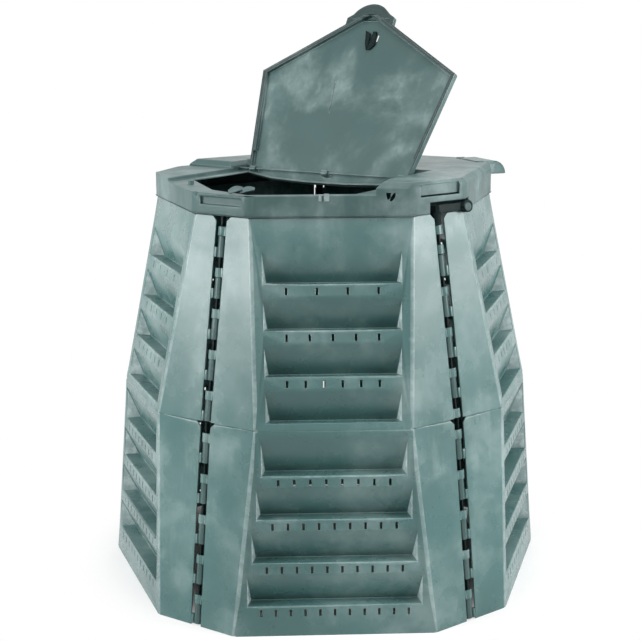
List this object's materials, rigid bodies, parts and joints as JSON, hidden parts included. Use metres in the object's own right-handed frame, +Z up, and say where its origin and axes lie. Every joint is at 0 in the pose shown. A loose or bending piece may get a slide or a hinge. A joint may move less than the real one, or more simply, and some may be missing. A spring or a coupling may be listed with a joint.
{
  "type": "compost bin",
  "caption": "Five-sided two-tier garden compost bin with louvred wall panels on rod hinges, a lift-off lid and a hinged filling flap.",
  "frame": {"origin": "on the ground at the middle of the object's footprint box", "axes": "+Z up, +X to the right of the front wall, -Y out of the front wall"},
  "size_m": [1.2486, 1.1876, 1.5981],
  "materials": {
    "wall_plastic": "green-grey moulded polyethylene with a cloudy bloom",
    "lid_plastic": "green-grey moulded polyethylene, slightly lighter",
    "rod_plastic": "near-black ribbed plastic",
    "cap_plastic": "light grey plastic"
  },
  "bodies": {
    "walls": {"lower_front_panel": "wall_plastic", "lower_right_panel": "wall_plastic", "lower_back_right_panel": "wall_plastic", "lower_back_left_panel": "wall_plastic", "lower_left_panel": "wall_plastic", "upper_front_panel": "wall_plastic", "upper_right_panel": "wall_plastic", "upper_back_right_panel": "wall_plastic", "upper_back_left_panel": "wall_plastic", "upper_left_panel": "wall_plastic", "lower_front_left_rod": "rod_plastic", "lower_front_right_rod": "rod_plastic", "lower_right_rod": "rod_plastic", "lower_back_rod": "rod_plastic", "lower_left_rod": "rod_plastic", "upper_front_left_rod": "rod_plastic", "upper_right_rod": "rod_plastic", "upper_back_rod": "rod_plastic", "upper_left_rod": "rod_plastic"},
    "handle": {"upper_front_right_handle": "rod_plastic", "handle_cap": "cap_plastic"},
    "lid": {"lid": "lid_plastic", "flap_hinge_rod": "rod_plastic"},
    "flap": {"lid_flap": "lid_plastic"}
  },
  "joints": [
    {"name": "handle_turn", "type": "hinge", "parent": "walls", "child": "handle", "pos_m": [0.31766, -0.45922, 0.53475], "axis": [0.0944, -0.1299, -0.987], "range_deg": [0, 90]},
    {"name": "lid_lift", "type": "slide", "parent": "walls", "child": "lid", "axis": [0, 0, 1], "range_m": [0, 0.3]},
    {"name": "flap_hinge", "type": "hinge", "parent": "lid", "child": "flap", "pos_m": [0, -0.022, 1.125], "axis": [-0.809, 0.5878, 0], "range_deg": [-119, 0]}
  ]
}
